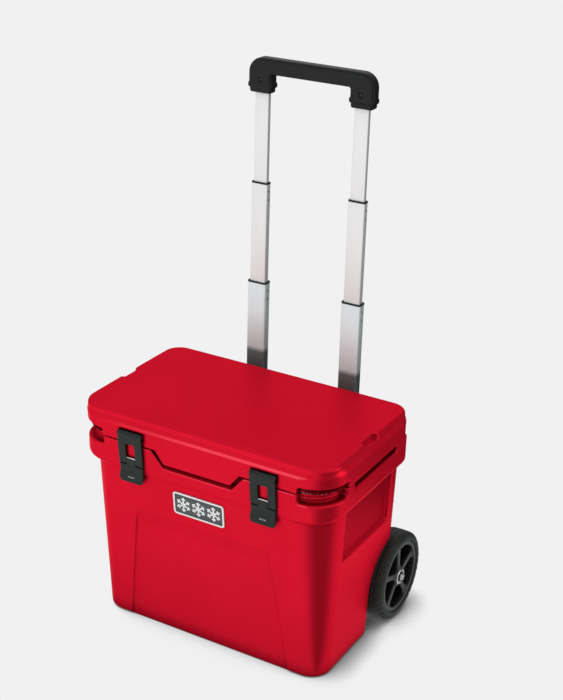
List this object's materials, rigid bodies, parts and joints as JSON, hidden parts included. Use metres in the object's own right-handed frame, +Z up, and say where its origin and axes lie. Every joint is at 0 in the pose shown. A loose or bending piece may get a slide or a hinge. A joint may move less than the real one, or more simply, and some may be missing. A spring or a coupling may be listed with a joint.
{
  "type": "wheeled cooler chest",
  "caption": "Hard-sided insulated cooler chest with a hinged lid, front pull latches, side hand holds, rear wheels and a telescoping towing handle.",
  "frame": {"origin": "on the floor under the middle of the lid, at the height of the body's underside", "axes": "+Z up, +Y towards the handle and wheels, +X to the right of someone facing the latches"},
  "size_m": [0.528, 0.4039, 1.0095],
  "materials": {
    "red_shell": "satin",
    "foam": "matte",
    "liner": "satin",
    "badge_white": "satin",
    "badge_dark": "satin",
    "seal": "matte",
    "black_plastic": "satin",
    "steel": "satin",
    "zinc": "polished",
    "dark_steel": "satin",
    "black_tube": "satin",
    "latch_rubber": "satin",
    "aluminium": "satin",
    "grip_plastic": "satin",
    "tyre": "matte",
    "hub_plastic": "satin",
    "bush_nylon": "satin"
  },
  "bodies": {
    "chest": {"body_shell": "red_shell", "body_foam": "foam", "body_liner": "liner", "badge_rim": "badge_white", "badge_plate": "badge_dark", "hinge_leaves_body": "black_plastic", "hinge_pins": "steel", "hinge_screws_body": "steel", "axle": "steel", "wheel_spacers": "black_plastic", "axle_washers": "zinc", "axle_circlips": "dark_steel", "handle_outer_tubes": "black_tube", "outer_tube_collars": "black_plastic", "handle_upper_bracket": "black_plastic", "handle_lower_bracket": "black_plastic", "bracket_screws": "steel"},
    "lid": {"lid_shell": "red_shell", "lid_foam": "foam", "lid_liner": "liner", "lid_gasket": "seal", "hinge_leaves_lid": "black_plastic", "hinge_screws_lid": "steel", "latch_hinge_pins": "steel"},
    "latch_left": {"latch_frame_left": "latch_rubber", "latch_lever_pin_left": "steel"},
    "latch_right": {"latch_frame_right": "latch_rubber", "latch_lever_pin_right": "steel"},
    "lever_left": {"latch_lever_left": "latch_rubber"},
    "lever_right": {"latch_lever_right": "latch_rubber"},
    "handle_stage_1": {"stage_1_tubes": "aluminium", "stage_1_collars": "black_plastic", "stage_1_rivets": "dark_steel", "stage_1_glides": "black_plastic"},
    "handle_stage_2": {"stage_2_tubes": "aluminium", "stage_2_collars": "black_plastic", "stage_2_rivets": "dark_steel", "stage_2_glides": "black_plastic"},
    "handle_stage_3": {"stage_3_tubes": "aluminium", "stage_3_glides": "black_plastic", "handle_grip": "grip_plastic", "grip_screws": "dark_steel"},
    "wheel_left": {"tyre_left": "tyre", "wheel_hub_left": "hub_plastic", "wheel_bush_left": "bush_nylon"},
    "wheel_right": {"tyre_right": "tyre", "wheel_hub_right": "hub_plastic", "wheel_bush_right": "bush_nylon"}
  },
  "joints": [
    {"name": "lid_hinge", "type": "hinge", "parent": "chest", "child": "lid", "pos_m": [0, 0.149, 0.393], "axis": [-1, 0, 0], "range_deg": [0, 85]},
    {"name": "latch_left_swing", "type": "hinge", "parent": "lid", "child": "latch_left", "pos_m": [-0.135, -0.1612, 0.407], "axis": [-1, 0, 0], "range_deg": [0, 80]},
    {"name": "latch_right_swing", "type": "hinge", "parent": "lid", "child": "latch_right", "pos_m": [0.135, -0.1612, 0.407], "axis": [-1, 0, 0], "range_deg": [0, 80]},
    {"name": "lever_left_lift", "type": "hinge", "parent": "latch_left", "child": "lever_left", "pos_m": [-0.135, -0.15984, 0.35988], "axis": [-1, 0, 0], "range_deg": [0, 90]},
    {"name": "lever_right_lift", "type": "hinge", "parent": "latch_right", "child": "lever_right", "pos_m": [0.135, -0.15984, 0.35988], "axis": [-1, 0, 0], "range_deg": [0, 90]},
    {"name": "handle_slide_1", "type": "slide", "parent": "chest", "child": "handle_stage_1", "axis": [0, 0, 1], "range_m": [-0.2184, 0]},
    {"name": "handle_slide_2", "type": "slide", "parent": "handle_stage_1", "child": "handle_stage_2", "axis": [0, 0, 1], "range_m": [-0.1904, 0]},
    {"name": "handle_slide_3", "type": "slide", "parent": "handle_stage_2", "child": "handle_stage_3", "axis": [0, 0, 1], "range_m": [-0.165, 0]},
    {"name": "wheel_left_spin", "type": "hinge", "parent": "chest", "child": "wheel_left", "pos_m": [-0.236, 0.15, 0.086], "axis": [1, 0, 0], "continuous": true},
    {"name": "wheel_right_spin", "type": "hinge", "parent": "chest", "child": "wheel_right", "pos_m": [0.236, 0.15, 0.086], "axis": [1, 0, 0], "continuous": true}
  ]
}
